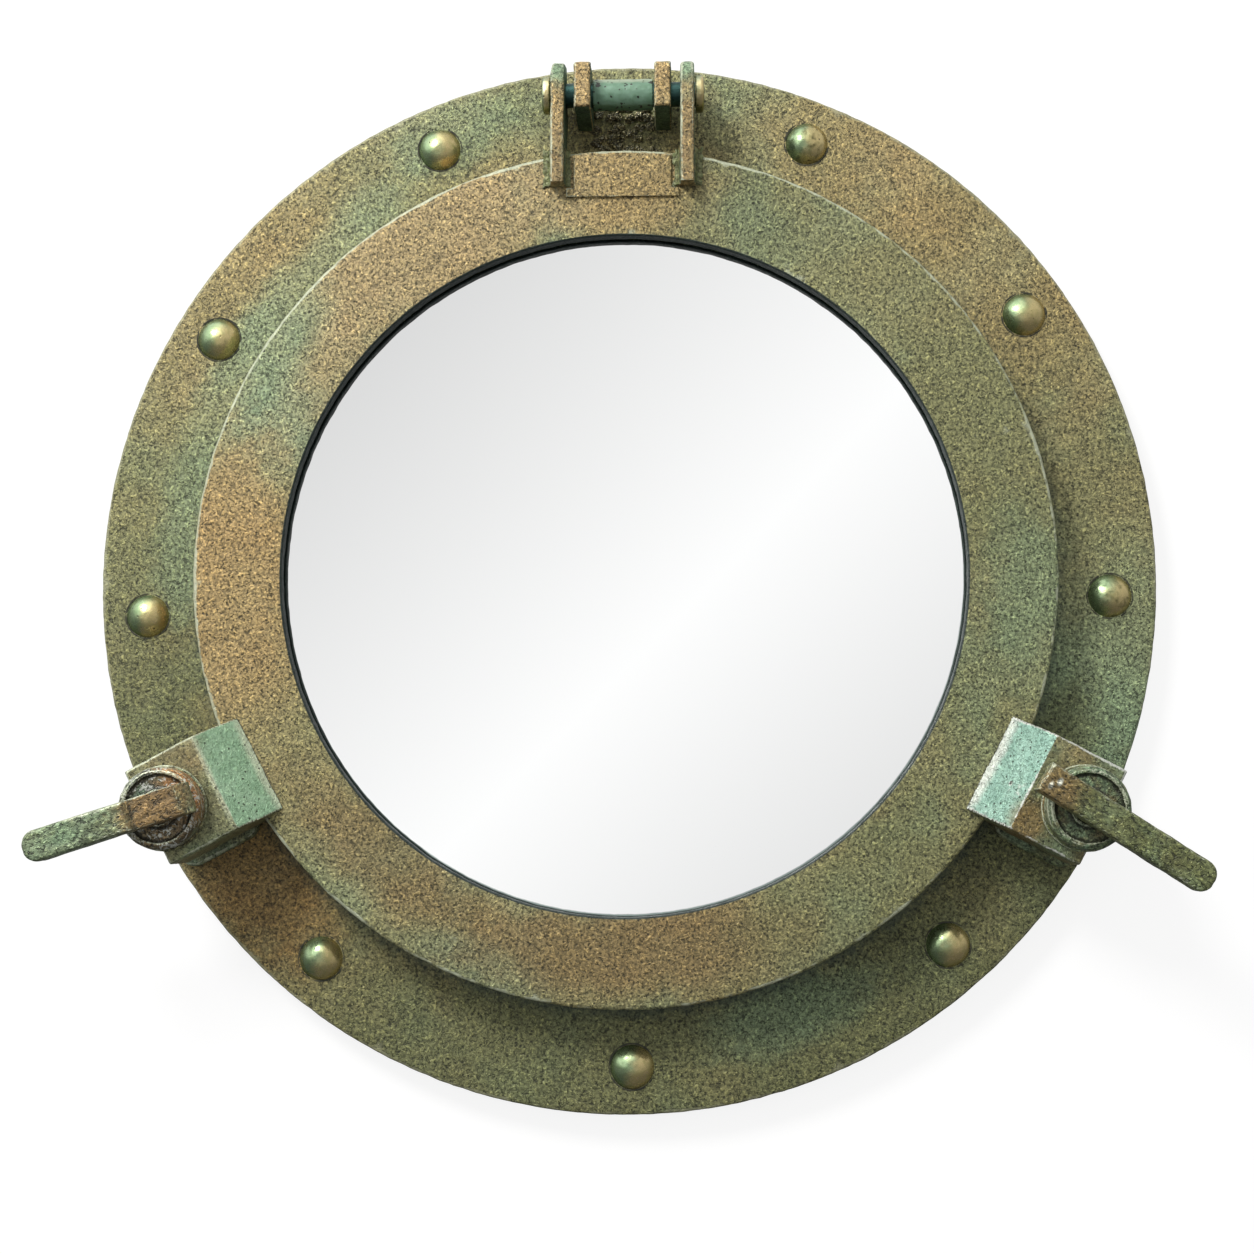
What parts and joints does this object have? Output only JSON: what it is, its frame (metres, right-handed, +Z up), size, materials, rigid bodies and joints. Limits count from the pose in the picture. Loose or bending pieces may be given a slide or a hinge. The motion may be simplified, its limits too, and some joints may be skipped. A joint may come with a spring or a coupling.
{
  "type": "porthole mirror",
  "caption": "Round wall mirror built as a ship's porthole: riveted flange, top-hinged mirror ring, and two clamping dogs with turned handles.",
  "frame": {"origin": "centre of the hanging hole, on the wall side of the hanger plate", "axes": "+Z up, -Y out of the mirror towards the viewer, +Y towards the wall, +X to the viewer's right"},
  "size_m": [0.4462, 0.0696, 0.43],
  "materials": {
    "flange_casting": "matte, sand-cast grain under an olive, tan and green verdigris patina",
    "ring_casting": "matte, sand-cast grain under an olive, tan and green verdigris patina",
    "lug_casting": "matte, tan and green patina",
    "clamp_casting": "satin, mint green and olive patina with worn pale edges",
    "dog_casting": "satin, streaked green and brown patina",
    "rivet_metal": "satin",
    "pin_metal": "satin",
    "sleeve_metal": "satin, teal green patina",
    "braze": "matte, rough",
    "silvered_glass": "polished",
    "seal_rubber": "matte",
    "board": "matte",
    "hanger_steel": "satin",
    "stud_steel": "satin, darkened"
  },
  "bodies": {
    "flange": {"wall_flange": "flange_casting", "flange_rivets": "rivet_metal", "seal_gasket": "seal_rubber", "wall_hanger": "hanger_steel", "hanger_screws": "hanger_steel", "inner_hinge_lug_left": "lug_casting", "inner_hinge_lug_right": "lug_casting", "hinge_braze_pad": "braze", "hinge_pin": "pin_metal", "hinge_pin_cap": "pin_metal", "hinge_sleeve": "sleeve_metal", "left_dog_boss": "flange_casting", "right_dog_boss": "flange_casting"},
    "mirror_ring": {"window_ring": "ring_casting", "glazing_gasket": "seal_rubber", "mirror_glass": "silvered_glass", "backing_board": "board", "retaining_clips": "hanger_steel", "clip_screws": "hanger_steel", "outer_hinge_lug_left": "lug_casting", "outer_hinge_lug_right": "lug_casting", "hinge_land": "lug_casting", "left_clamp_block": "clamp_casting", "right_clamp_block": "clamp_casting"},
    "left_dog": {"left_dog_stud": "stud_steel", "left_dog_washer": "dog_casting", "left_dog_collar": "stud_steel", "left_dog_knob": "dog_casting", "left_dog_handle": "dog_casting"},
    "right_dog": {"right_dog_stud": "stud_steel", "right_dog_washer": "dog_casting", "right_dog_collar": "stud_steel", "right_dog_knob": "dog_casting", "right_dog_handle": "dog_casting"}
  },
  "joints": [
    {"name": "ring_hinge", "type": "hinge", "parent": "flange", "child": "mirror_ring", "pos_m": [0, -0.0267, 0.0165], "axis": [-1, 0, 0], "range_deg": [0, 170]},
    {"name": "left_dog_turn", "type": "hinge", "parent": "mirror_ring", "child": "left_dog", "pos_m": [-0.17659, -0.05, -0.27389], "axis": [0, -1, 0], "continuous": true},
    {"name": "right_dog_turn", "type": "hinge", "parent": "mirror_ring", "child": "right_dog", "pos_m": [0.17659, -0.05, -0.27389], "axis": [0, -1, 0], "continuous": true}
  ]
}
